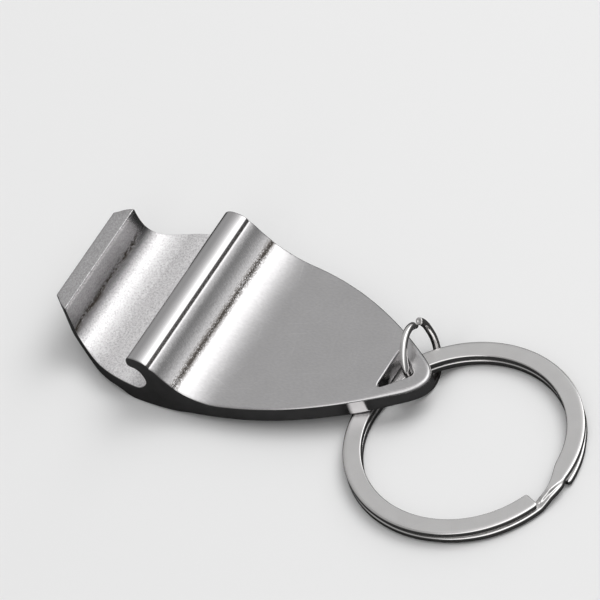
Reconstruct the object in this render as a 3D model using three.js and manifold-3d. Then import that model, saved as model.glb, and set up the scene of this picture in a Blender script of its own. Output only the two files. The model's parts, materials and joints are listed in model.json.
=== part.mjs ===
// Keychain bottle opener: a solid nickel-plated blade with a cap lip and a hooked rib,
// a small jump ring through the hole in its tip, and a split key ring on the jump ring.
//
// Millimetres, +Z up. Blade coordinates, used for every size below: X runs from the
// cap lip to the tip, Y across the blade, Z out of the blade's flat top, and the origin
// is on the level of that top, under the outer edge of the lip.
// The finished object lies as it rests on a table: the split ring is level, the blade's
// tip is pitched up a little by the rings under it, and the origin is the bottom centre
// of the whole object's box.

import * as THREE from 'three';
import { mergeVertices } from 'three/addons/utils/BufferGeometryUtils.js';
import Module from 'manifold-3d';

const wasm = await Module();
wasm.setup();

const degrees = THREE.MathUtils.degToRad;

// ---------------------------------------------------------------- blade sizes
const BLADE_LENGTH = 48.5;
const BLADE_HALF_WIDTH = 12.6;
const PLATE_THICKNESS = 2.4;
const BLADE_PITCH = degrees(4.2);

const LIP_HEIGHT = 7.25;
const LIP_LAND = 2.16;
const LIP_LAND_DROP = 0.32;
const RIB_TOP_X = 14.13;
const RIB_TOP_HEIGHT = 5.93;
const RIB_CREST_X = 16.08;
const RIB_CREST_HEIGHT = 5.4;
const SLOPE_FOOT_X = 18.9;
const SLOPE_FOOT_HEIGHT = 2.22;
const FLAT_START_X = 24.8;
const NOSE_X = 12.92;
const NOSE_HEIGHT = 4.21;
const BELLY_DEPTH = 2.6;
const WIDEST_X = 16;

// The key hole: a triangle with its flat base towards the rib.
const HOLE_BASE_X = 42.6;
const HOLE_APEX_X = 46.5;
const HOLE_HALF_BASE = 3.6;
const HOLE_CORNER = 0.6;
const HOLE_APEX_CORNER = 0.8;

// ---------------------------------------------------------------- jump ring sizes
const WIRE_RADIUS = 0.475;
const JUMP_RING_RADIUS = 4.078;
const JUMP_RING_CENTRE = new THREE.Vector3(44.435, 4.12, -1.909);
const JUMP_RING_NORMAL = new THREE.Vector3(0.9504, 0.2286, 0.2112).normalize();
const JUMP_RING_CUT = new THREE.Vector3(-0.311, 0.665, 0.679);
const WIRE_END_GAP = degrees(4.5);
const WIRE_END_ASIDE = 0.1;
const WIRE_END_OUTWARD = 0.17;
const WIRE_END_SHARE = 0.12;

// ---------------------------------------------------------------- split ring sizes
const SPLIT_RING_RADIUS = 15;
const BAND_WIDTH = 2.3;
const BAND_THICKNESS = 0.88;
const COIL_GAP = 0.09;
const SPLIT_RING_CENTRE = new THREE.Vector3(55.1, -4.58, -3.58);
const UPPER_END = degrees(-23.3);
const LOWER_END = degrees(-3.6);
// The step between the coils: the strip's outer edge drops first, then its inner edge, and
// the strip is pinched narrower from the inside all along it.
const OUTER_STEP = [degrees(-5), degrees(-17)];
const INNER_STEP = [degrees(-13), degrees(-22.5)];
const PINCH = [degrees(4), degrees(-36)];
const PINCH_DEPTH = 1.2;

// ---------------------------------------------------------------- fineness
const CURVE_STEPS = 10;
const WIRE_ARC_STEPS = 7;
const WIRE_STEPS = 56;
const BAND_STEPS = 168;

// ---------------------------------------------------------------- materials
function nickel(color, roughness) {
  return new THREE.MeshStandardMaterial({ color, roughness, metalness: 1 });
}

// ---------------------------------------------------------------- booleans
function toSolid(geometry) {
  const bare = geometry.clone();
  bare.deleteAttribute('normal');
  bare.deleteAttribute('uv');
  const merged = mergeVertices(bare, 1e-4);
  return new wasm.Manifold(new wasm.Mesh({
    numProp: 3,
    vertProperties: Float32Array.from(merged.attributes.position.array),
    triVerts: Uint32Array.from(merged.index.array),
  }));
}

function toGeometry(solid) {
  const mesh = solid.getMesh();
  const geometry = new THREE.BufferGeometry();
  geometry.setAttribute('position', new THREE.BufferAttribute(mesh.vertProperties, mesh.numProp));
  geometry.setIndex(new THREE.BufferAttribute(mesh.triVerts, 1));
  return geometry;
}

// ---------------------------------------------------------------- blade
// The blade seen from its side, X to the right and Z up.
function bladeProfile() {
  const landEnd = LIP_HEIGHT - LIP_LAND_DROP;
  const outline = new THREE.Shape();
  outline.moveTo(0, LIP_HEIGHT);
  outline.lineTo(LIP_LAND, landEnd);
  // The lip's inner wall sweeps down into the trough, which ends in the slot under the rib.
  outline.bezierCurveTo(LIP_LAND + 0.11, 1.5, 4.2, 1.25, 6.93, 0.83);
  outline.lineTo(13, 0.26);
  outline.bezierCurveTo(14, 0.27, 14.91, 1.29, 14.93, 2.11);
  outline.bezierCurveTo(14.92, 2.78, 14.59, 4.08, 13.56, 4.01);
  // The hooked nose, the round top of the rib and the steep nick behind its crest.
  outline.lineTo(NOSE_X, NOSE_HEIGHT);
  outline.bezierCurveTo(12.7, 4.95, 12.95, 5.91, RIB_TOP_X, RIB_TOP_HEIGHT);
  outline.bezierCurveTo(14.75, 5.95, 15.58, 5.82, RIB_CREST_X, RIB_CREST_HEIGHT);
  outline.lineTo(RIB_CREST_X + 0.28, RIB_CREST_HEIGHT - 0.54);
  // The slope bulges a little at first, and a hollow fillet brings it out to the flat top.
  outline.bezierCurveTo(16.68, 4.63, 17.0, 4.36, 17.3, 3.98);
  outline.bezierCurveTo(17.85, 3.25, 18.4, 2.69, SLOPE_FOOT_X, SLOPE_FOOT_HEIGHT);
  outline.lineTo(SLOPE_FOOT_X + 0.22, SLOPE_FOOT_HEIGHT - 0.27);
  outline.bezierCurveTo(20.3, 1.02, 22.3, 0, FLAT_START_X, 0);
  outline.lineTo(BLADE_LENGTH, 0);
  outline.lineTo(BLADE_LENGTH, -PLATE_THICKNESS);
  // The belly under the rib touches the table; the trough's underside is higher.
  outline.lineTo(20, -PLATE_THICKNESS);
  outline.lineTo(18.4, -BELLY_DEPTH);
  outline.lineTo(15.6, -BELLY_DEPTH);
  outline.lineTo(12.6, -2.5);
  outline.bezierCurveTo(10.4, -2.5, 10.4, -1.42, 8.4, -1.45);
  outline.lineTo(5.8, -1.4);
  outline.bezierCurveTo(4.68, -1.34, 0.2, 0.37, 0.03, 4.9);
  outline.closePath();
  return outline;
}

// The blade's outline from above, from the lip round the tip and back.
function bladePlan() {
  const outline = new THREE.Shape();
  outline.moveTo(0, -7.1);
  outline.quadraticCurveTo(0.5, -7.3, 1.14, -8.1);
  outline.bezierCurveTo(6.63, -10.94, 7.21, -BLADE_HALF_WIDTH, WIDEST_X, -BLADE_HALF_WIDTH);
  outline.bezierCurveTo(27.32, -BLADE_HALF_WIDTH, 35.69, -10.01, 46.3, -2.95);
  outline.bezierCurveTo(47.6, -2.05, BLADE_LENGTH, -1.1, BLADE_LENGTH, 0);
  outline.bezierCurveTo(BLADE_LENGTH, 1.1, 47.6, 2.05, 46.3, 2.95);
  outline.bezierCurveTo(35.69, 10.01, 27.32, BLADE_HALF_WIDTH, WIDEST_X, BLADE_HALF_WIDTH);
  outline.bezierCurveTo(7.21, BLADE_HALF_WIDTH, 6.63, 10.94, 1.14, 8.1);
  outline.quadraticCurveTo(0.5, 7.3, 0, 7.1);
  outline.closePath();
  return outline;
}

// A triangle whose corners are rounded by the given radii.
function roundedTriangle(corners, radii) {
  const outline = new THREE.Shape();
  corners.forEach((corner, i) => {
    const toPrevious = corners[(i + 2) % 3].clone().sub(corner).normalize();
    const toNext = corners[(i + 1) % 3].clone().sub(corner).normalize();
    const halfAngle = Math.acos(toPrevious.dot(toNext)) / 2;
    const reach = radii[i] / Math.tan(halfAngle);
    const start = toPrevious.multiplyScalar(reach).add(corner);
    const end = toNext.multiplyScalar(reach).add(corner);
    if (i === 0) outline.moveTo(start.x, start.y);
    else outline.lineTo(start.x, start.y);
    outline.quadraticCurveTo(corner.x, corner.y, end.x, end.y);
  });
  outline.closePath();
  return outline;
}

function prism(outline, depth) {
  return new THREE.ExtrudeGeometry(outline, { depth, bevelEnabled: false, curveSegments: CURVE_STEPS });
}

function bladeMesh() {
  const spare = 2;
  const side = prism(bladeProfile(), 2 * (BLADE_HALF_WIDTH + spare));
  side.rotateX(Math.PI / 2).translate(0, BLADE_HALF_WIDTH + spare, 0);
  const plan = prism(bladePlan(), 4 * LIP_HEIGHT).translate(0, 0, -2 * LIP_HEIGHT);
  const corners = [
    new THREE.Vector2(HOLE_BASE_X, HOLE_HALF_BASE),
    new THREE.Vector2(HOLE_BASE_X, -HOLE_HALF_BASE),
    new THREE.Vector2(HOLE_APEX_X, 0),
  ];
  const hole = prism(roundedTriangle(corners, [HOLE_CORNER, HOLE_CORNER, HOLE_APEX_CORNER]),
    4 * PLATE_THICKNESS).translate(0, 0, -2 * PLATE_THICKNESS);
  const solid = toSolid(side).intersect(toSolid(plan)).subtract(toSolid(hole));
  const mesh = new THREE.Mesh(toGeometry(solid), nickel(0xb9b7b3, 0.32));
  mesh.name = 'opener_blade';
  return mesh;
}

// ---------------------------------------------------------------- jump ring
// The wire's centre line: one turn about Z. Over the last share of the wire at each end
// it bends aside, one end out and the other in, so that the two cut ends miss each other.
class RingWireCurve extends THREE.Curve {
  getPoint(t, target = new THREE.Vector3()) {
    const angle = WIRE_END_GAP / 2 + t * (2 * Math.PI - WIRE_END_GAP);
    const frontEnd = 1 - THREE.MathUtils.smoothstep(t, 0, WIRE_END_SHARE);
    const backEnd = THREE.MathUtils.smoothstep(t, 1 - WIRE_END_SHARE, 1);
    const bend = backEnd - frontEnd;
    const radius = JUMP_RING_RADIUS + WIRE_END_OUTWARD * bend;
    return target.set(radius * Math.cos(angle), radius * Math.sin(angle), WIRE_END_ASIDE * bend);
  }
}

function jumpRingMesh() {
  const section = new THREE.Shape().absarc(0, 0, WIRE_RADIUS, 0, 2 * Math.PI);
  const geometry = new THREE.ExtrudeGeometry(section, {
    steps: WIRE_STEPS,
    curveSegments: WIRE_ARC_STEPS,
    extrudePath: new RingWireCurve(),
  });
  const mesh = new THREE.Mesh(geometry, nickel(0xc9c7c3, 0.18));
  mesh.name = 'jump_ring';
  const side = new THREE.Vector3().crossVectors(JUMP_RING_NORMAL, JUMP_RING_CUT).normalize();
  const towardsCut = new THREE.Vector3().crossVectors(side, JUMP_RING_NORMAL);
  const turn = new THREE.Matrix4().makeBasis(towardsCut, side, JUMP_RING_NORMAL);
  mesh.quaternion.setFromRotationMatrix(turn);
  mesh.position.copy(JUMP_RING_CENTRE);
  return mesh;
}

// ---------------------------------------------------------------- split ring
// How far a place on the strip is through a stretch of the ring, from 0 to 1, where the
// stretch runs clockwise between two angles just before the end of the first turn.
function shareThrough(along, [start, end]) {
  return THREE.MathUtils.clamp((along - (2 * Math.PI + UPPER_END - start)) / (start - end), 0, 1);
}

// A flat strip wound twice round: the upper coil runs clockwise from its free end, steps
// down to the lower level, and the lower coil ends just before the step. The strip is a
// long box whose every vertex is bent round by its place along the strip.
function splitRingMesh() {
  const sweep = 4 * Math.PI + UPPER_END - LOWER_END;
  const coilDrop = BAND_THICKNESS + COIL_GAP;
  const geometry = new THREE.BoxGeometry(sweep, BAND_WIDTH, BAND_THICKNESS, BAND_STEPS, 1, 1);
  const position = geometry.attributes.position;
  for (let i = 0; i < position.count; i += 1) {
    const along = position.getX(i) + sweep / 2;
    const across = position.getY(i);
    const step = shareThrough(along, across < 0 ? INNER_STEP : OUTER_STEP);
    const level = -coilDrop * THREE.MathUtils.smoothstep(step, 0, 1);
    const pinch = across < 0 ? PINCH_DEPTH * Math.sin(Math.PI * shareThrough(along, PINCH)) ** 2 : 0;
    const radius = SPLIT_RING_RADIUS - BAND_WIDTH / 2 + across + pinch;
    const angle = UPPER_END - along;
    position.setXYZ(i, radius * Math.cos(angle), radius * Math.sin(angle),
      position.getZ(i) - BAND_THICKNESS / 2 + level);
  }
  const mesh = new THREE.Mesh(geometry, nickel(0xc4c2be, 0.22));
  mesh.name = 'split_ring';
  mesh.position.copy(SPLIT_RING_CENTRE);
  mesh.rotation.y = BLADE_PITCH;
  return mesh;
}

// ---------------------------------------------------------------- assembly
function bottleOpener() {
  const assembly = new THREE.Group();
  assembly.rotation.y = -BLADE_PITCH;
  assembly.add(bladeMesh(), jumpRingMesh(), splitRingMesh());
  const object = new THREE.Group();
  object.add(assembly);
  object.updateMatrixWorld(true);
  const box = new THREE.Box3().setFromObject(object, true);
  const centre = box.getCenter(new THREE.Vector3());
  assembly.position.set(-centre.x, -centre.y, -box.min.z);
  return object;
}

export default bottleOpener();
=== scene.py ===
"""Keychain bottle opener: the fine surfaces, materials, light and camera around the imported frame.

Shapes are worked out in millimetres in blade coordinates: X from the cap lip to the tip, Y across,
Z out of the blade's flat top. place() turns them into the frame's metres.
"""

import json
import math

import bmesh
import bpy
import numpy as np
from mathutils import Matrix, Vector, geometry


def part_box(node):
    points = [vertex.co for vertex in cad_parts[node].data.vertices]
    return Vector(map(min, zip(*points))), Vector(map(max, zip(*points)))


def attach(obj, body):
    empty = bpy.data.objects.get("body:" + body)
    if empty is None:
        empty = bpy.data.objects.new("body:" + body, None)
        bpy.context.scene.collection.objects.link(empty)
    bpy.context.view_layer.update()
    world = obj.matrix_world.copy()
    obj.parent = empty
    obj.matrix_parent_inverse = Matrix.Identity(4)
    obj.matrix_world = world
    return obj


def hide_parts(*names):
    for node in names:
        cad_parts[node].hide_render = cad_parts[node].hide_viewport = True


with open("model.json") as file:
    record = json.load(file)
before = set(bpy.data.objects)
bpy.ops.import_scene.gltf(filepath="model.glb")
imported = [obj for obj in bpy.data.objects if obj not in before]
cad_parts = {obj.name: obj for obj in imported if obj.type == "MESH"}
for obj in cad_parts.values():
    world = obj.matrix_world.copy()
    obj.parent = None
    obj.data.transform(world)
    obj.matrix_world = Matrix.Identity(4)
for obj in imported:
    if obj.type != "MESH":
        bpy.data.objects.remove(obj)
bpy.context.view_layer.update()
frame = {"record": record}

MM = 0.001

# ---------------------------------------------------------------- blade coordinates in the frame
MOUNTS = {mount["name"]: mount for mount in frame["record"]["mounts"]}
BLADE_TOP_MOUNT_X = 34.0
BLADE_UP = Vector(MOUNTS["blade_top"]["axis"]).normalized()
BLADE_ACROSS = Vector((0, 1, 0))
BLADE_ALONG = BLADE_ACROSS.cross(BLADE_UP)
BLADE_AXES = np.array([BLADE_ALONG, BLADE_ACROSS, BLADE_UP])
BLADE_ORIGIN = np.array(Vector(MOUNTS["blade_top"]["pos_m"]) - BLADE_TOP_MOUNT_X * MM * BLADE_ALONG)


def place(points):
    """Blade coordinates in millimetres to the frame's metres."""
    return BLADE_ORIGIN + MM * np.asarray(points, float) @ BLADE_AXES


# ---------------------------------------------------------------- curves
def bezier(p0, p1, p2, p3, steps):
    t = np.linspace(0, 1, steps + 1)[:, None]
    p0, p1, p2, p3 = (np.array(p, float) for p in (p0, p1, p2, p3))
    return (1 - t) ** 3 * p0 + 3 * (1 - t) ** 2 * t * p1 + 3 * (1 - t) * t ** 2 * p2 + t ** 3 * p3


def line(p0, p1, steps):
    t = np.linspace(0, 1, steps + 1)[:, None]
    return (1 - t) * np.array(p0, float) + t * np.array(p1, float)


SHORTEST_STEP = 0.02


def cut_back(points, reach):
    """The polyline without its last stretch of the given length."""
    lengths = np.append(0, np.cumsum(np.linalg.norm(np.diff(points, axis=0), axis=1)))
    stop = lengths[-1] - reach
    kept = points[lengths < stop - SHORTEST_STEP]
    end = [np.interp(stop, lengths, points[:, k]) for k in range(2)]
    return np.vstack([kept, end])


def rounded_corner(start, corner, end, steps):
    """A curve from start to end that bends round a corner."""
    return bezier(start, start / 3 + corner * 2 / 3, end / 3 + corner * 2 / 3, end, steps)


def join(parts, reaches, corner_steps=6):
    """Joins polylines end to end, and rounds each meeting point over the given reach."""
    path = parts[0]
    for part, reach in zip(parts[1:], reaches):
        corner = path[-1]
        if reach == 0:
            path = np.vstack([path, part[1:]])
            continue
        head = cut_back(path, reach)
        tail = cut_back(part[::-1], reach)[::-1]
        turn = rounded_corner(head[-1], corner, tail[0], corner_steps)
        path = np.vstack([head, turn[1:-1], tail])
    return path


def smoothstep(x, low, high):
    t = np.clip((x - low) / (high - low), 0, 1)
    return t * t * (3 - 2 * t)


# ---------------------------------------------------------------- blade outline
LENGTH = 48.5
HALF_WIDTH = 12.6
PLATE = 2.4
WIDEST_X = 16.0
FLAT_START = 25.2
TIP_START = 46.3
BELLY = 2.6
LIP_OUTER = (0.0, 7.25)
LIP_INNER = (2.16, 6.93)
RIB_TOP = (14.2, 5.98)
CREST = (16.13, 5.34)
NICK_FOOT = (16.34, 4.91)
SLOPE_BREAK = (17.3, 3.92)
SLOPE_FOOT = (18.9, 2.19)
LEAF_ROOT = (19.12, 1.93)
HOOK_CORNER = (12.92, 4.21)


def side_path():
    """The blade from its side, from the underside at FLAT_START round the lip to the top there."""
    parts = [
        line((FLAT_START, -PLATE), (20, -PLATE), 10),
        line((20, -PLATE), (18.4, -BELLY), 4),
        line((18.4, -BELLY), (15.6, -BELLY), 6),
        line((15.6, -BELLY), (12.6, -2.5), 6),
        bezier((12.6, -2.5), (10.4, -2.5), (10.4, -1.42), (8.4, -1.45), 16),
        line((8.4, -1.45), (5.8, -1.4), 6),
        bezier((5.8, -1.4), (4.68, -1.34), (0.2, 0.37), (0.03, 4.9), 30),
        line((0.03, 4.9), LIP_OUTER, 8),
        line(LIP_OUTER, LIP_INNER, 8),
        bezier(LIP_INNER, (2.27, 1.5), (4.2, 1.25), (6.93, 0.83), 44),
        bezier((6.93, 0.83), (8.74, 0.86), (11.07, 0.44), (13, 0.26), 22),
        bezier((13, 0.26), (14, 0.27), (14.91, 1.29), (14.93, 2.11), 18),
        bezier((14.93, 2.11), (14.92, 2.78), (14.59, 4.08), (13.56, 4.01), 20),
        line((13.56, 4.01), HOOK_CORNER, 3),
        bezier(HOOK_CORNER, (12.7, 4.95), (12.95, 5.97), RIB_TOP, 24),
        bezier(RIB_TOP, (14.65, 5.98), (15.53, 5.83), CREST, 24),
        # A steep nick behind the crest, then the slope, convex at first and hollow below.
        line(CREST, NICK_FOOT, 4),
        bezier(NICK_FOOT, (16.44, 4.83), (16.84, 4.57), SLOPE_BREAK, 18),
        bezier(SLOPE_BREAK, (17.85, 3.16), (18.4, 2.63), SLOPE_FOOT, 18),
        line(SLOPE_FOOT, LEAF_ROOT, 3),
        bezier(LEAF_ROOT, (20.3, 1.02), (22.3, 0), (24.8, 0), 60),
        line((24.8, 0), (FLAT_START, 0), 1),
    ]
    reaches = [0.5, 0.5, 0.5, 0.5, 0.3, 0.3, 0, 0.28, 0.1, 0.3, 0.15, 0, 0.25, 0.2, 0,
               0.05, 0.05, 0, 0.06, 0.06, 0]
    return join(parts, reaches)


def plan_path():
    """Half of the blade from above, from the lip to the tip, on the +Y side."""
    parts = [
        bezier((0, 7.1), (0.33, 7.23), (0.71, 7.57), (1.14, 8.1), 12),
        bezier((1.14, 8.1), (6.63, 10.94), (7.21, HALF_WIDTH), (WIDEST_X, HALF_WIDTH), 300),
        bezier((WIDEST_X, HALF_WIDTH), (27.32, HALF_WIDTH), (35.69, 10.01), (TIP_START, 2.95), 300),
        bezier((TIP_START, 2.95), (47.6, 2.05), (LENGTH, 1.1), (LENGTH, 0), 40),
    ]
    return join(parts, [0.6, 0, 0.4])


PLAN = plan_path()


def half_width(x):
    return np.interp(x, PLAN[:, 0], PLAN[:, 1])


def plan_normal(points):
    """Unit outward normals of a polyline on the +Y side that runs towards +X."""
    tangent = np.gradient(points, axis=0)
    normal = np.stack([-tangent[:, 1], tangent[:, 0]], 1)
    return normal / np.linalg.norm(normal, axis=1)[:, None]


def edge_radius(x):
    """The blade's rounded edge is fine round the lip and the rib, and widest at the tip."""
    return 0.2 + 0.12 * smoothstep(x, 17, 24) + 0.3 * smoothstep(x, 41, 47)


# ---------------------------------------------------------------- mesh building
class Shell:
    """Collects vertices and faces, and welds vertices that share a place."""

    def __init__(self):
        self.points = []
        self.faces = []
        self.index = {}

    def vertex(self, point):
        key = tuple(np.round(np.asarray(point, float), 5))
        if key not in self.index:
            self.index[key] = len(self.points)
            self.points.append(key)
        return self.index[key]

    def face(self, points):
        corners = []
        for point in points:
            i = self.vertex(point)
            if i not in corners:
                corners.append(i)
        if len(corners) > 2:
            self.faces.append(corners)

    def strip(self, row_a, row_b):
        for k in range(len(row_a) - 1):
            self.face([row_a[k], row_a[k + 1], row_b[k + 1], row_b[k]])


def new_piece(name, shell, material, body, node):
    """The finished mesh, with its material, in the place of its CAD node."""
    mesh = bpy.data.meshes.new(name)
    mesh.from_pydata(place(shell.points).tolist(), [], shell.faces)
    mesh.validate()
    piece = bpy.data.objects.new(name, mesh)
    bpy.context.scene.collection.objects.link(piece)
    set_outward(piece)
    mesh.shade_smooth()
    weighted = piece.modifiers.new("weighted_normals", "WEIGHTED_NORMAL")
    weighted.keep_sharp = False
    mesh.materials.append(material)
    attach(piece, body)
    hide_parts(node)


def set_outward(piece):
    """Turns every face of a closed mesh to point out."""
    work = bmesh.new()
    work.from_mesh(piece.data)
    bmesh.ops.recalc_face_normals(work, faces=work.faces)
    if work.calc_volume(signed=True) < 0:
        bmesh.ops.reverse_faces(work, faces=work.faces)
    work.to_mesh(piece.data)
    work.free()


def inside(point, loop):
    """True if a flat point lies inside a closed flat loop."""
    x, y = point
    x0, y0 = loop[:, 0], loop[:, 1]
    x1, y1 = np.roll(x0, -1), np.roll(y0, -1)
    crosses = (y0 > y) != (y1 > y)
    with np.errstate(divide="ignore", invalid="ignore"):
        reach = x0 + (y - y0) * (x1 - x0) / (y1 - y0)
    return bool(np.count_nonzero(crosses & (x < reach)) % 2)


def fill(loops, extra=()):
    """Triangles that fill a flat outline, less any holes, as (points, faces)."""
    points, edges = [], []
    for loop in loops:
        first = len(points)
        points += [tuple(p) for p in loop]
        edges += [(first + k, first + (k + 1) % len(loop)) for k in range(len(loop))]
    points += [tuple(p) for p in extra]
    made = geometry.delaunay_2d_cdt([Vector(p) for p in points], edges, [], 1, 1e-6)
    flat = np.array([points[given[0]] if given else tuple(v) for v, given in zip(made[0], made[3])])
    kept = []
    for face in made[2]:
        middle = flat[list(face)].mean(0)
        if inside(middle, loops[0]) and not any(inside(middle, hole) for hole in loops[1:]):
            kept.append(face)
    return flat, kept


def crossing(a, b, c, d):
    """The point where the flat segment from a to b crosses the one from c to d, or None."""
    (x1, y1), (x2, y2), (x3, y3) = b - a, d - c, c - a
    turn = x1 * y2 - y1 * x2
    if abs(turn) < 1e-9:
        return None
    along_first, along_second = (x3 * y2 - y3 * x2) / turn, (x3 * y1 - y3 * x1) / turn
    if 0 < along_first < 1 and 0 < along_second < 1:
        return a + along_first * (b - a)
    return None


KNOT_REACH = 24


def untangle(path):
    """Draws each small knot of a flat polyline together into the point where it crosses itself."""
    for i in range(len(path) - 3):
        for j in range(min(i + KNOT_REACH, len(path) - 2), i + 1, -1):
            meeting = crossing(path[i], path[i + 1], path[j], path[j + 1])
            if meeting is not None:
                path[i + 1:j + 1] = meeting
                break
    return path


# ---------------------------------------------------------------- blade
ROUND_STEPS = 5
ACROSS_STEPS = 12
WALL_GRID = 0.4
WALL_GRID_CLEARANCE = 0.25
TIP_FINE_POINTS = 40


def rounded_edge(corner, inset, drop):
    """Points of a quarter round between corner - inset and corner - drop."""
    angles = np.linspace(0, math.pi / 2, ROUND_STEPS + 1)
    return [corner - inset - drop + drop * math.cos(a) + inset * math.sin(a) for a in angles]


def sculpted_part(shell):
    """The lip, trough, rib and slope, ruled across Y, with rounded edges and both side walls."""
    path = side_path()
    tangent = np.gradient(path, axis=0)
    tangent /= np.linalg.norm(tangent, axis=1)[:, None]
    tangent[0], tangent[-1] = (-1, 0), (1, 0)
    radii = edge_radius(path[:, 0])[:, None]
    inner = untangle(path + radii * np.stack([tangent[:, 1], -tangent[:, 0]], 1))
    rounds = []
    for (x, z), (inner_x, inner_z), (radius,) in zip(path, inner, radii):
        corner = np.array((x, half_width(x), z))
        wall = np.array((inner_x, half_width(inner_x), inner_z))
        rounds.append(rounded_edge(corner, np.array((0, radius, 0)), corner - wall))
    mirror = np.array((1, -1, 1))
    for k in range(len(path) - 1):
        a, b = rounds[k], rounds[k + 1]
        shell.strip(a, b)
        shell.strip([p * mirror for p in a], [p * mirror for p in b])
        shell.strip(line(a[0], a[0] * mirror, ACROSS_STEPS), line(b[0], b[0] * mirror, ACROSS_STEPS))
    loop = np.array([r[-1] for r in rounds])[:, [0, 2]]
    columns = np.arange(WALL_GRID, FLAT_START - WALL_GRID, WALL_GRID)
    rows = np.arange(WALL_GRID - BELLY, LIP_INNER[1], WALL_GRID)
    grid = [(x, z) for x in columns for z in rows]
    clear = [p for p in grid if inside(p, loop) and np.hypot(*(loop - p).T).min() > WALL_GRID_CLEARANCE]
    flat, faces = fill([loop], clear)
    for face in faces:
        points = [np.array((flat[i][0], half_width(flat[i][0]), flat[i][1])) for i in face]
        shell.face(points)
        shell.face([p * mirror for p in points])


def leaf_outline():
    """The flat leaf's edge from FLAT_START round the tip and back, with its inward direction."""
    half = PLAN[PLAN[:, 0] > FLAT_START + 0.05]
    start = (FLAT_START, half_width(FLAT_START))
    half = np.vstack([start, half[:-TIP_FINE_POINTS:3], half[-TIP_FINE_POINTS:]])
    normal = plan_normal(half)
    normal[-1] = (1, 0)
    share = smoothstep(half[:, 0], 26, 36)[:, None]
    straight = np.array([(0.0, 1.0)])
    inset = (1 - share) * straight + share * normal
    mirror = np.array((1, -1))
    outline = np.vstack([half, half[-2::-1] * mirror])
    inward = np.vstack([inset, inset[-2::-1] * mirror])
    return outline, inward


HOLE_CORNERS = [(42.6, 3.6), (42.6, -3.6), (46.5, 0.0)]
HOLE_RADII = [0.6, 0.6, 0.8]
HOLE_ROUND = 0.22


def hole_outline():
    """The triangular key hole, with rounded corners."""
    corners = [np.array(c) for c in HOLE_CORNERS]
    points = []
    for i, corner in enumerate(corners):
        before = corners[i - 1] - corner
        after = corners[(i + 1) % 3] - corner
        before, after = before / np.linalg.norm(before), after / np.linalg.norm(after)
        reach = HOLE_RADII[i] / math.tan(math.acos(before @ after) / 2)
        start, end = corner + reach * before, corner + reach * after
        points += list(rounded_corner(start, corner, end, 8))
    return np.array(points)


def closed_normals(loop):
    """Unit normals of a closed loop that point out of it."""
    tangent = np.roll(loop, -1, axis=0) - np.roll(loop, 1, axis=0)
    normal = np.stack([tangent[:, 1], -tangent[:, 0]], 1)
    normal /= np.linalg.norm(normal, axis=1)[:, None]
    outward = ((loop - loop.mean(0)) * normal).sum(1).mean() > 0
    return normal if outward else -normal


def leaf_part(shell):
    """The flat leaf with its rounded rim and the triangular hole."""
    outline, inward = leaf_outline()
    hole = hole_outline()
    hole_out = closed_normals(hole)
    for level, drop in ((0.0, 1.0), (-PLATE, -1.0)):
        rims = []
        for (x, y), (ix, iy) in zip(outline, inward):
            radius = edge_radius(x)
            rims.append(rounded_edge(np.array((x, y, level)), radius * np.array((ix, iy, 0)),
                                     radius * np.array((0, 0, drop))))
        for a, b in zip(rims[:-1], rims[1:]):
            shell.strip(a, b)
        bores = [rounded_edge(np.array((x, y, level)), -HOLE_ROUND * np.array((nx, ny, 0)),
                              HOLE_ROUND * np.array((0, 0, drop)))
                 for (x, y), (nx, ny) in zip(hole, hole_out)]
        for k, a in enumerate(bores):
            shell.strip(a, bores[(k + 1) % len(bores)])
        edge = np.array([r[0] for r in rims])
        seam = line(edge[-1], edge[0], ACROSS_STEPS)[1:-1]
        mouth = np.array([b[0] for b in bores])
        flat, faces = fill([np.vstack([edge, seam])[:, :2], mouth[:, :2]])
        for face in faces:
            shell.face([(flat[i][0], flat[i][1], level) for i in face])
        if drop > 0:
            upper_rim, upper_bore = [r[-1] for r in rims], [b[-1] for b in bores]
    lower_rim, lower_bore = [r[-1] for r in rims], [b[-1] for b in bores]
    shell.strip(upper_rim, lower_rim)
    shell.strip(upper_bore + upper_bore[:1], lower_bore + lower_bore[:1])


def build_blade(material):
    shell = Shell()
    sculpted_part(shell)
    leaf_part(shell)
    new_piece("blade", shell, material, "opener", "opener_blade")


# ---------------------------------------------------------------- rings
def sweep(shell, sections):
    """Skins a row of matching closed sections."""
    for a, b in zip(sections[:-1], sections[1:]):
        shell.strip(list(a) + [a[0]], list(b) + [b[0]])


def cap(shell, section):
    """Closes the end of a sweep with a fan of triangles."""
    centre = section.mean(0)
    for k in range(len(section)):
        shell.face([section[k], section[(k + 1) % len(section)], centre])


WIRE_RADIUS = 0.475
JUMP_RADIUS = 4.078
JUMP_CENTRE = np.array((44.435, 4.12, -1.909))
JUMP_NORMAL = np.array((0.9504, 0.2286, 0.2112))
JUMP_CUT = np.array((-0.311, 0.665, 0.679))
JUMP_GAP = math.radians(7)
END_ASIDE = 0.15
END_OUTWARD = 0.2
END_SHARE = 0.12
NIP_DEPTH = 0.55
NIP_SHARE = 0.028
END_RIDGE = 0.1
WIRE_SIDES = 28
WIRE_STEPS = 180


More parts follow.
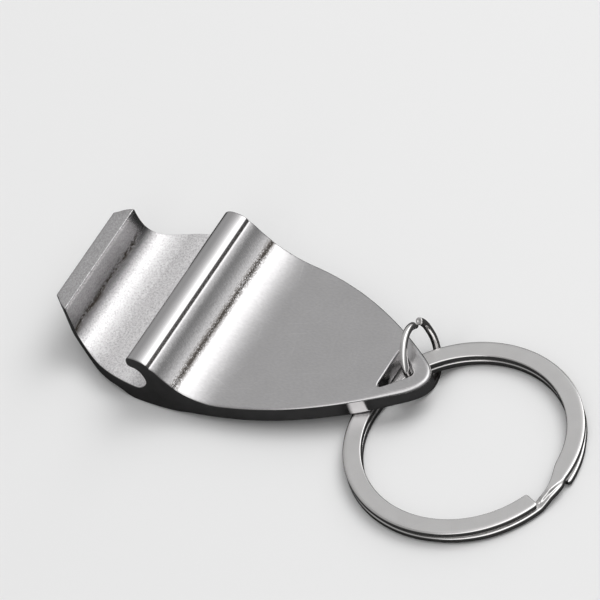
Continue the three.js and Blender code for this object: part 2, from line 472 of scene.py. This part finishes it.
def build_jump_ring(material):
    """Round wire bent into a ring whose two nipped ends miss each other sideways."""
    normal = JUMP_NORMAL / np.linalg.norm(JUMP_NORMAL)
    side = np.cross(normal, JUMP_CUT)
    side /= np.linalg.norm(side)
    cut = np.cross(side, normal)
    turn = np.linspace(0, 2 * math.pi, WIRE_SIDES, endpoint=False)

    def centre(t):
        angle = JUMP_GAP / 2 + t * (2 * math.pi - JUMP_GAP)
        bend = smoothstep(t, 1 - END_SHARE, 1) - 1 + smoothstep(t, 0, END_SHARE)
        radial = cut * math.cos(angle) + side * math.sin(angle)
        return JUMP_CENTRE + (JUMP_RADIUS + END_OUTWARD * bend) * radial + END_ASIDE * bend * normal, radial

    def section(t, radius, push=0.0):
        middle, radial = centre(t)
        before, after = centre(max(t - 0.001, 0))[0], centre(min(t + 0.001, 1))[0]
        along = (after - before) / np.linalg.norm(after - before)
        across = np.cross(along, radial)
        across /= np.linalg.norm(across)
        radial = np.cross(across, along)
        ridge = END_RIDGE * (1 - (np.cos(turn) * radius / WIRE_RADIUS) ** 2)
        nip = NIP_DEPTH * smoothstep(t, NIP_SHARE, 0)
        wedge = radius * np.where(np.cos(turn) > 0, 1 - nip, 1) * np.cos(turn)
        ring = middle + np.outer(wedge, radial) + np.outer(radius * np.sin(turn), across)
        return ring + np.outer(push * (1 + ridge), along)

    shell = Shell()
    # The nipped faces, from their middle out: share of the wire's radius, and push along the wire.
    ends = [(0.2, -0.04), (0.45, 0.03), (0.8, 0.05), (0.94, 0.03)]
    sections = [section(0, WIRE_RADIUS * share, -push) for share, push in ends]
    sections += [section(t, WIRE_RADIUS) for t in np.linspace(0, 1, WIRE_STEPS)]
    sections += [section(1, WIRE_RADIUS * share, push) for share, push in reversed(ends)]
    sweep(shell, sections)
    cap(shell, sections[0])
    cap(shell, sections[-1])
    new_piece("wire_ring", shell, material, "jump_ring", "jump_ring")


RING_RADIUS = 15.0
BAND_WIDTH = 2.3
BAND_THICKNESS = 0.88
COIL_DROP = 0.97
RING_CENTRE = np.array((55.1, -4.58, -3.58))
UPPER_END = -23.3
LOWER_END = -3.6
PINCH_DEPTH = 1.2
PINCH_START = 4
PINCH_SPAN = 40
CREASE_WIDTH = 0.35
FREE_END_ROUND = 0.4
FREE_END_WIDTH = 0.72
FREE_END_HEIGHT = 0.7
BAND_EDGE = 0.2
OUTER_EDGE = 0.5
BAND_STEPS = 900


def band_section():
    """Across and height of points round the flat wire's section, with its rounded edges."""
    half, top = BAND_WIDTH / 2, BAND_THICKNESS / 2
    points = []
    for sx, sz, start in ((1, 1, 0), (-1, 1, 90), (-1, -1, 180), (1, -1, 270)):
        reach, next_reach = (OUTER_EDGE, BAND_EDGE) if sx > 0 else (BAND_EDGE, OUTER_EDGE)
        for a in np.radians(np.linspace(start, start + 90, 9)):
            points.append((sx * (half - reach) + reach * math.cos(a),
                           sz * (top - BAND_EDGE) + BAND_EDGE * math.sin(a)))
        if sx * sz > 0:
            flat = np.linspace(points[-1][0], -sx * (half - next_reach), 14)[1:-1]
            points += [(x, points[-1][1]) for x in flat]
    return np.array(points)


def by_angle(angle, *knots):
    """A size that changes along the strip: straight lines between (angle, value) knots."""
    return float(np.interp(angle, [k[0] for k in knots], [k[1] for k in knots]))


def build_split_ring(material):
    """One flat wire wound twice round: the upper coil, an oblique step down, and the lower coil.

    Angles fall along the strip in degrees, from the upper coil's free end at UPPER_END + 360,
    through the step just below 0, to the lower coil's free end at LOWER_END - 360.
    """
    outline = band_section()
    east, _, up = np.linalg.inv(BLADE_AXES)
    north = np.array((0.0, 1.0, 0.0))
    begin, finish = UPPER_END + 360, LOWER_END - 360

    def section(angle):
        pinch = PINCH_DEPTH * math.sin(math.pi * np.clip((PINCH_START - angle) / PINCH_SPAN, 0, 1)) ** 2
        spread = by_angle(angle, (finish, 0.35), (finish + 25, 0), (-75, 0), (-50, 0.2), (-8, 0.2), (-4, 0))
        inner = RING_RADIUS - BAND_WIDTH + pinch
        inner += by_angle(angle, (finish, 0.35), (finish + 25, 0), (-75, 0), (-50, 0.2), (-24, 0.2), (-10, 0))
        outer = RING_RADIUS + spread
        radius = inner + (outline[:, 0] / BAND_WIDTH + 0.5) * (outer - inner)
        crease = by_angle(angle, (-24, 14.17), (-20, 14.42), (-12, 14.52), (-9, 14.62), (-5, 14.92))
        outer_drop = COIL_DROP * by_angle(angle, (-22.5, 1), (-16, 0.4), (-8, 0.25), (-5, 0))
        inner_drop = COIL_DROP * by_angle(angle, (-22.5, 1), (-19, 0.4), (-14, 0))
        drop = inner_drop + (outer_drop - inner_drop) * smoothstep(radius, crease, crease + CREASE_WIDTH)
        height = outline[:, 1]
        from_end = RING_RADIUS * math.radians(min(begin - angle, angle - finish))
        if from_end < FREE_END_ROUND:
            taper = math.sqrt(1 - (1 - from_end / FREE_END_ROUND) ** 2)
            middle = (inner + outer) / 2
            radius = middle + (radius - middle) * (FREE_END_WIDTH + (1 - FREE_END_WIDTH) * taper)
            height = height * (FREE_END_HEIGHT + (1 - FREE_END_HEIGHT) * taper)
        turn = math.radians(angle)
        ring = np.outer(radius * math.cos(turn), east) + np.outer(radius * math.sin(turn), north)
        return RING_CENTRE + ring + np.outer(height - BAND_THICKNESS / 2 - drop, up)

    shell = Shell()
    tips = math.degrees(FREE_END_ROUND / RING_RADIUS) * np.linspace(0, 1, 9) ** 1.6
    angles = np.concatenate([begin - tips, np.linspace(begin - tips[-1], finish + tips[-1], BAND_STEPS)[1:-1],
                             finish + tips[::-1]])
    sections = [section(angle) for angle in angles]
    sweep(shell, sections)
    cap(shell, sections[0])
    cap(shell, sections[-1])
    new_piece("key_ring", shell, material, "split_ring", "split_ring")


# ---------------------------------------------------------------- materials
class Graph:
    """Short names for the nodes of one material or world."""

    def __init__(self, tree):
        self.tree = tree

    def node(self, kind, **settings):
        made = self.tree.nodes.new(kind)
        for name, value in settings.items():
            setattr(made, name, value)
        return made

    def plug(self, socket, value):
        if isinstance(value, bpy.types.NodeSocket):
            self.tree.links.new(value, socket)
        elif value is not None:
            socket.default_value = value

    def math(self, operation, a, b=None):
        made = self.node("ShaderNodeMath", operation=operation)
        for socket, value in zip(made.inputs, (a, b)):
            self.plug(socket, value)
        return made.outputs[0]

    def add(self, *values):
        total = values[0]
        for value in values[1:]:
            total = self.math("ADD", total, value)
        return total

    def times(self, *values):
        total = values[0]
        for value in values[1:]:
            total = self.math("MULTIPLY", total, value)
        return total

    def centred(self, noise):
        """A noise that wanders evenly above and below 0."""
        return self.add(noise, -0.5)

    def step(self, value, low, high):
        """0 below low and 1 above high, smooth between; low may be above high."""
        made = self.node("ShaderNodeMapRange", interpolation_type="SMOOTHSTEP")
        ends = (low, high, 0.0, 1.0) if low < high else (high, low, 1.0, 0.0)
        for name, number in zip(("From Min", "From Max", "To Min", "To Max"), ends):
            made.inputs[name].default_value = number
        self.plug(made.inputs["Value"], value)
        return made.outputs["Result"]

    def near(self, value, centre, width):
        """1 at centre, falling smoothly to 0 at width away from it."""
        away = self.math("ABSOLUTE", self.math("SUBTRACT", value, centre))
        return self.step(away, width, 0.0)

    def vector(self, operation, a, b):
        made = self.node("ShaderNodeVectorMath", operation=operation)
        self.plug(made.inputs[0], a)
        self.plug(made.inputs[1], b)
        return made.outputs["Value" if operation == "DOT_PRODUCT" else "Vector"]

    def noise(self, coordinates, stretch, scale, detail=3.0):
        scaled = self.vector("MULTIPLY", coordinates, stretch)
        made = self.node("ShaderNodeTexNoise")
        made.inputs["Scale"].default_value = scale
        made.inputs["Detail"].default_value = detail
        self.plug(made.inputs["Vector"], scaled)
        return made.outputs["Fac"]

    def turned(self, coordinates, degrees):
        made = self.node("ShaderNodeMapping")
        made.inputs["Rotation"].default_value = (0, 0, math.radians(degrees))
        self.plug(made.inputs["Vector"], coordinates)
        return made.outputs["Vector"]


def blade_coordinates(graph):
    """The shaded point in blade coordinates, millimetres: the vector, and its x, y and z."""
    point = graph.node("ShaderNodeTexCoord").outputs["Object"]
    offset = graph.vector("SUBTRACT", point, tuple(BLADE_ORIGIN))
    parts = [graph.vector("DOT_PRODUCT", offset, tuple(Vector(axis) / MM)) for axis in BLADE_AXES]
    joined = graph.node("ShaderNodeCombineXYZ")
    for socket, part in zip(joined.inputs, parts):
        graph.plug(socket, part)
    return (joined.outputs["Vector"], *parts)


def scratches(graph, point, turns):
    """Fine straight scratches in several directions: a mask of thin broken lines."""
    total = 0.0
    for k, turn in enumerate(turns):
        streak = graph.noise(graph.turned(point, turn), (0.06, 2.6, 1.0), 1.0 + 0.13 * k, 2.0)
        total = graph.add(total, graph.step(streak, 0.66, 0.73))
    return total


def new_metal(name):
    material = bpy.data.materials.new(name)
    material.use_nodes = True
    shader = material.node_tree.nodes["Principled BSDF"]
    shader.inputs["Metallic"].default_value = 1
    return material, Graph(material.node_tree), shader


def finish_metal(graph, shader, clean, dirt_and_shade_colour, dirt_and_shade, shade, roughness, height_mm):
    """Wires colour, roughness and a bump into the shader. All but the two colours may vary."""
    # The colour mixes towards the second, dark colour: dirt on the rings' scratches, painted shade in the
    # blade's creases.
    blend = graph.node("ShaderNodeMix", data_type="RGBA")
    graph.plug(blend.inputs["Factor"], dirt_and_shade)
    blend.inputs[6].default_value = (*clean, 1)
    blend.inputs[7].default_value = (*dirt_and_shade_colour, 1)
    grey = graph.node("ShaderNodeCombineColor")
    for socket in grey.inputs:
        graph.plug(socket, shade)
    tint = graph.node("ShaderNodeMix", data_type="RGBA", blend_type="MULTIPLY")
    tint.inputs["Factor"].default_value = 1.0
    graph.plug(tint.inputs[6], blend.outputs[2])
    graph.plug(tint.inputs[7], grey.outputs[0])
    graph.plug(shader.inputs["Base Color"], tint.outputs[2])
    graph.plug(shader.inputs["Roughness"], roughness)
    bump = graph.node("ShaderNodeBump")
    bump.inputs["Strength"].default_value = 1.0
    bump.inputs["Distance"].default_value = MM
    graph.plug(bump.inputs["Height"], height_mm)
    graph.plug(shader.inputs["Normal"], bump.outputs["Normal"])


BLADE_PLATE = (0.665, 0.655, 0.66)
# The dark brown of the painted shade in the blade's creases.
BLADE_CREASE_SHADE = (0.1, 0.085, 0.07)


def satin_nickel():
    """The blade: satin leaf, polished rib and edges, grainy trough, painted shade in its sharp corners and
    creases, and painted sheen, highlights and shade on parts of the plate.
    """
    material, graph, shader = new_metal("satin_nickel")
    point, x, y, z = blade_coordinates(graph)
    normal = graph.node("ShaderNodeNewGeometry").outputs["Normal"]
    sideways = graph.math("ABSOLUTE", graph.vector("DOT_PRODUCT", normal, tuple(BLADE_ACROSS)))
    side = graph.step(sideways, 0.5, 0.9)
    face = graph.times(graph.math("SUBTRACT", 1.0, side), graph.step(z, -0.6, -0.2))
    leaf = graph.times(graph.step(x, 19.0, 20.5), face)
    polished = graph.times(face, graph.step(x, 16.2, 16.6))
    rough_cast = graph.times(face, graph.step(x, 15.0, 13.6), graph.step(z, 3.9, 3.2))
    rough_cast = graph.times(rough_cast, graph.step(x, 2.6, 3.3))
    land = graph.times(face, graph.step(x, 3.0, 2.7), graph.step(z, 3.0, 4.5))
    wall = graph.times(face, graph.step(x, 3.1, 2.8), graph.step(x, 2.0, 2.2), graph.step(z, 3.2, 4.0))

    grain = graph.noise(point, (1, 0.8, 1), 5.0)
    pits = graph.step(graph.noise(point, (1, 1, 1), 4.4, 2.0), 0.36, 0.28)
    coarse = graph.noise(point, (1, 1, 1), 0.3)
    speckle = graph.noise(point, (1, 0.45, 1), 5.0)
    fine = graph.noise(point, (1, 0.5, 1), 8.0, 2.0)
    patches = graph.noise(point, (1, 0.35, 1), 0.55)
    satin = graph.noise(point, (1, 2.2, 1), 2.0)
    scratch = graph.times(scratches(graph, point, (20, 75, 118, 160)), leaf)

    # Painted shade, dark brown and broken into specks, along the foot of the slope, in the nick, and in the
    # corner and on the wall under the lip.
    wander = graph.add(x, graph.times(graph.centred(speckle), 0.5))
    foot = graph.times(graph.near(wander, 18.99, 0.64), graph.step(z, 0.6, 1.2), face)
    foot = graph.times(foot, graph.step(graph.add(fine, graph.times(patches, 0.5)), 0.56, 0.7), 0.92)
    nick = graph.times(graph.near(x, 16.25, 0.17), graph.step(z, 4.4, 4.7), face)
    nick = graph.times(nick, graph.step(fine, 0.32, 0.55), 0.85)
    height_wander = graph.add(z, graph.times(graph.centred(patches), 1.6))
    corner = graph.times(graph.near(height_wander, 3.5, 0.62), graph.step(x, 3.1, 2.8))
    corner = graph.times(corner, graph.step(x, 1.8, 2.2), face)
    corner = graph.times(corner, graph.step(graph.add(speckle, patches), 0.78, 1.0))
    # Painted shade on the wall under the lip.
    under_lip_shade = graph.times(graph.near(z, 3.6, 2.2), graph.step(x, 3.1, 2.7), face)
    under_lip_shade = graph.times(under_lip_shade, graph.step(patches, 0.4, 0.62), 0.16)
    dirt_and_shade = graph.math("MAXIMUM", graph.math("MAXIMUM", corner, under_lip_shade), graph.math("MAXIMUM", foot, nick))

    # Brighter and darker stretches of the plate: cast grain and pits, painted sheen, painted highlights and
    # painted shade.
    # Cast grain and pits in the trough, and painted sheen: the 0.33 lifts the trough's colour so its
    # highlight is brighter.
    cast_grain_and_sheen = graph.times(graph.math("MAXIMUM", rough_cast, graph.times(land, 0.1)),
                       graph.add(0.33, graph.times(graph.centred(grain), 1.5), graph.times(pits, -0.18)))
    # Painted highlight: two bands of the trough lightened where its highlight should be brighter.
    painted_highlight_bands = graph.times(rough_cast, graph.add(graph.near(x, 5.3, 1.3), graph.near(x, 11.2, 1.2)))
    # Painted shade: bands at the rib top and at the start of the slope darkened.
    painted_shade_bands = graph.add(graph.near(x, 14.25, 0.6), graph.near(x, 16.7, 0.45))
    painted_shade_bands = graph.times(painted_shade_bands, face, graph.step(z, 3.9, 4.2))
    # Painted highlight: a broken bright glint along the lip's inner edge.
    painted_lip_glint = graph.times(graph.near(x, 2.17, 0.22), graph.step(z, 6.2, 6.6), face)
    painted_lip_glint = graph.times(painted_lip_glint, graph.step(fine, 0.4, 0.55))
    shade = graph.add(0.985, cast_grain_and_sheen,
                      graph.times(graph.centred(coarse), 0.09),
                      graph.times(scratch, 0.06),
                      graph.times(painted_lip_glint, 0.5),
                      # Painted shade: the lip's wall darkened against the bright trough it reflects.
                      graph.times(wall, -0.27),
                      graph.times(land, -0.13),
                      graph.times(painted_highlight_bands, 0.14),
                      graph.times(painted_shade_bands, -0.13),
                      graph.times(land, graph.centred(grain), 0.5),
                      graph.times(polished, graph.centred(satin), 0.25),
                      graph.times(side, graph.centred(patches), 0.5))
    roughness = graph.add(0.16,
                          graph.times(leaf, 0.13),
                          graph.times(rough_cast, 0.31),
                          graph.times(land, 0.06),
                          graph.times(side, -0.06),
                          graph.times(dirt_and_shade, 0.3),
                          graph.times(coarse, 0.05),
                          graph.times(scratch, 0.06))
    height = graph.add(graph.times(rough_cast, grain, 0.02),
                       graph.times(rough_cast, pits, -0.004),
                       graph.times(land, grain, 0.008),
                       graph.times(scratch, -0.0012),
                       graph.times(grain, 0.0012),
                       graph.times(side, coarse, 0.04),
                       graph.times(polished, satin, 0.016),
                       graph.times(dirt_and_shade, speckle, 0.02))
    finish_metal(graph, shader, BLADE_PLATE, BLADE_CREASE_SHADE, dirt_and_shade, shade, roughness, height)
    return material


RING_DIRT = (0.2, 0.17, 0.14)


def ring_nickel(name, colour, roughness, satin):
    """Nickel on a ring. satin is the extra roughness of its flat, brushed faces."""
    material, graph, shader = new_metal(name)
    point = graph.vector("MULTIPLY", graph.node("ShaderNodeTexCoord").outputs["Object"], (1 / MM,) * 3)
    normal = graph.node("ShaderNodeNewGeometry").outputs["Normal"]
    upright = graph.math("ABSOLUTE", graph.vector("DOT_PRODUCT", normal, (0, 0, 1)))
    flat = graph.step(upright, 0.9, 0.99)
    grain = graph.noise(point, (1, 1, 1), 6.0)
    coarse = graph.noise(point, (1, 1, 1), 0.5)
    scratch = scratches(graph, point, (10, 64, 131))
    shade = graph.add(1.0, graph.times(graph.centred(coarse), 0.1),
                      graph.times(flat, graph.centred(grain), 0.06))
    roughness = graph.add(roughness, graph.times(flat, satin), graph.times(coarse, 0.04),
                          graph.times(scratch, 0.05))
    height = graph.add(graph.times(grain, 0.0015), graph.times(scratch, -0.001))
    # On the rings this is only dirt in the scratches.
    dirt_and_shade = graph.times(scratch, 0.04)
    finish_metal(graph, shader, colour, RING_DIRT, dirt_and_shade, shade, roughness, height)
    return material


build_blade(satin_nickel())
build_jump_ring(ring_nickel("bright_nickel", (0.88, 0.865, 0.855), 0.09, 0.0))
build_split_ring(ring_nickel("ring_nickel", (0.82, 0.81, 0.805), 0.11, 0.22))


# ---------------------------------------------------------------- floor, light and camera
FLOOR_REACH = 3.0
FLOOR_LINES = 121
FLOOR_CROWDING = 7
FLOOR_GREY = 0.8
# The floor's grey as the metal's reflections see it: a painted dark reflection.
FLOOR_GREY_PAINTED_IN_REFLECTIONS = 0.035
DIMPLE_DEPTH = 1.6 * MM
DIMPLE_SPREAD = (2.6 * MM, 5.5 * MM)
RIM_MARKERS = 24


def floor_material():
    """A pale matt mat. To the polished metal it is painted dark grey, a painted reflection that darkens the
    metal's sides.
    """
    material = bpy.data.materials.new("floor")
    material.use_nodes = True
    graph = Graph(material.node_tree)
    shader = material.node_tree.nodes["Principled BSDF"]
    shader.inputs["Roughness"].default_value = 0.85
    shader.inputs["Specular IOR Level"].default_value = 0.2
    # Painted reflection: glossy rays see the floor dark grey.
    seen_by_metal = graph.node("ShaderNodeLightPath").outputs["Is Glossy Ray"]
    grey = graph.add(FLOOR_GREY, graph.times(seen_by_metal, FLOOR_GREY_PAINTED_IN_REFLECTIONS - FLOOR_GREY))
    colour = graph.node("ShaderNodeCombineColor")
    for socket in colour.inputs:
        graph.plug(socket, grey)
    graph.plug(shader.inputs["Base Color"], colour.outputs[0])
    return material


def marker(name, place_m, body=None):
    """An empty at a place in the frame; with a body, it swings with that body."""
    made = bpy.data.objects.new(name, None)
    bpy.context.scene.collection.objects.link(made)
    made.location = place_m
    if body:
        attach(made, body)
    return made


def follow(obj, axis, markers, rule):
    """One coordinate of obj is the MIN or AVERAGE of that coordinate of the markers."""
    driver = obj.driver_add("location", axis).driver
    driver.type = rule
    for target in markers:
        variable = driver.variables.new()
        variable.type = "TRANSFORMS"
        variable.targets[0].id = target
        variable.targets[0].transform_type = ("LOC_X", "LOC_Y", "LOC_Z")[axis]
        variable.targets[0].transform_space = "WORLD_SPACE"


def floor_markers(level):
    """The places the floor must stay below: the blade's lowest level, and the split ring's rims."""
    low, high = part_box("split_ring")
    middle, radius = (low + high) / 2, (high.x - low.x) / 2
    markers = [marker("blade_level", (0, 0, level))]
    for z in (low.z, high.z):
        for k in range(RIM_MARKERS):
            turn = 2 * math.pi * k / RIM_MARKERS
            spot = (middle.x + radius * math.cos(turn), middle.y + radius * math.sin(turn), max(z, level))
            markers.append(marker("rim", spot, "split_ring"))
    return markers


def build_floor():
    """A wide soft mat under the blade and the key ring, with a small dimple for the jump ring.

    When the rings swing, the mat sinks below the split ring and its dimple stays under the jump ring.
    """
    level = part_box("opener_blade")[0].z
    low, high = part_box("jump_ring")
    middle = (low + high) / 2
    spread = np.linspace(-FLOOR_CROWDING, FLOOR_CROWDING, FLOOR_LINES)
    spread = np.sinh(spread) / math.sinh(FLOOR_CROWDING) * FLOOR_REACH
    points, faces = [], []
    for y in spread:
        for x in spread:
            away = (x / DIMPLE_SPREAD[0]) ** 2 + (y / DIMPLE_SPREAD[1]) ** 2
            points.append((x, y, -DIMPLE_DEPTH * math.exp(-away)))
    n = len(spread)
    for j in range(n - 1):
        for i in range(n - 1):
            faces.append((j * n + i, j * n + i + 1, (j + 1) * n + i + 1, (j + 1) * n + i))
    mesh = bpy.data.meshes.new("floor")
    mesh.from_pydata(points, [], faces)
    mesh.shade_smooth()
    mesh.materials.append(floor_material())
    floor = bpy.data.objects.new("floor", mesh)
    bpy.context.scene.collection.objects.link(floor)
    dimple = [marker("dimple", middle, "jump_ring")]
    follow(floor, 0, dimple, "AVERAGE")
    follow(floor, 1, dimple, "AVERAGE")
    follow(floor, 2, floor_markers(level), "MIN")
    bpy.context.view_layer.update()


CAMERA_AZIMUTH = 43.26
CAMERA_ELEVATION = 48.01
CAMERA_ROLL = 17.645
CAMERA_LENS = 600
CAMERA_DISTANCE = 1.2218
CAMERA_AIM = (-0.004838, 0.005481, 0.011577)


def build_camera():
    azimuth, elevation = math.radians(CAMERA_AZIMUTH), math.radians(CAMERA_ELEVATION)
    back = Vector((math.sin(azimuth) * math.cos(elevation), -math.cos(azimuth) * math.cos(elevation),
                   math.sin(elevation)))
    camera = bpy.data.objects.new("camera", bpy.data.cameras.new("camera"))
    bpy.context.scene.collection.objects.link(camera)
    camera.data.lens = CAMERA_LENS
    camera.data.clip_end = 10
    aim = back.to_track_quat("Z", "Y").to_matrix().to_4x4()
    roll = Matrix.Rotation(-math.radians(CAMERA_ROLL), 4, "Z")
    camera.matrix_world = Matrix.Translation(Vector(CAMERA_AIM) + CAMERA_DISTANCE * back) @ aim @ roll
    bpy.context.scene.camera = camera


# The studio as the metal sees it: brightness round the blade's cross axis, by the angle from
# straight up towards +X in degrees. A broad softbox stands just past the top.
STUDIO = [(-180, 0.12), (-110, 0.2), (-75, 0.36), (-45, 0.48), (-20, 0.50), (-9, 0.66), (1, 0.95),
          (9, 1.35), (15, 1.9), (34, 2.0), (39, 1.6), (45, 1.0), (53, 0.8), (64, 0.34), (74, 0.26),
          (100, 0.16), (180, 0.12)]


def build_studio():
    world = bpy.data.worlds.new("studio")
    bpy.context.scene.world = world
    world.use_nodes = True
    graph = Graph(world.node_tree)
    ray = graph.node("ShaderNodeTexCoord").outputs["Generated"]
    along = graph.vector("DOT_PRODUCT", ray, tuple(BLADE_ALONG))
    up = graph.vector("DOT_PRODUCT", ray, tuple(BLADE_UP))
    share = graph.add(graph.times(graph.math("ARCTAN2", along, up), 0.5 / math.pi), 0.5)
    ramp = graph.node("ShaderNodeValToRGB")
    graph.plug(ramp.inputs[0], share)
    peak = max(value for angle, value in STUDIO)
    while len(ramp.color_ramp.elements) < len(STUDIO):
        ramp.color_ramp.elements.new(1.0)
    for element, (angle, value) in zip(ramp.color_ramp.elements, STUDIO):
        element.position = angle / 360 + 0.5
        element.color = (value / peak,) * 3 + (1,)
    across = graph.vector("DOT_PRODUCT", ray, tuple(BLADE_ACROSS))
    front_falloff = graph.add(0.7, graph.times(graph.step(across, -0.3, 0.4), 0.3))
    background = world.node_tree.nodes["Background"]
    graph.plug(background.inputs["Color"], ramp.outputs["Color"])
    graph.plug(background.inputs["Strength"], graph.times(front_falloff, peak))


LAMP_DIRECTION = (0.25, 0.45, 0.86)
LAMP_DISTANCE = 0.6
LAMP_SIZE = 0.35
LAMP_POWER = 1.1


def build_lamp():
    """A soft key light that shapes the shadows; the metal's highlights come from the studio."""
    data = bpy.data.lights.new("softbox", "AREA")
    data.shape = "SQUARE"
    data.size = LAMP_SIZE
    data.energy = LAMP_POWER
    lamp = bpy.data.objects.new("softbox", data)
    bpy.context.scene.collection.objects.link(lamp)
    stand = Vector(LAMP_DIRECTION).normalized() * LAMP_DISTANCE
    lamp.matrix_world = Matrix.Translation(stand) @ stand.to_track_quat("Z", "Y").to_matrix().to_4x4()
    lamp.visible_glossy = False


build_floor()
build_studio()
build_lamp()
build_camera()
bpy.context.scene.view_settings.view_transform = "Standard"
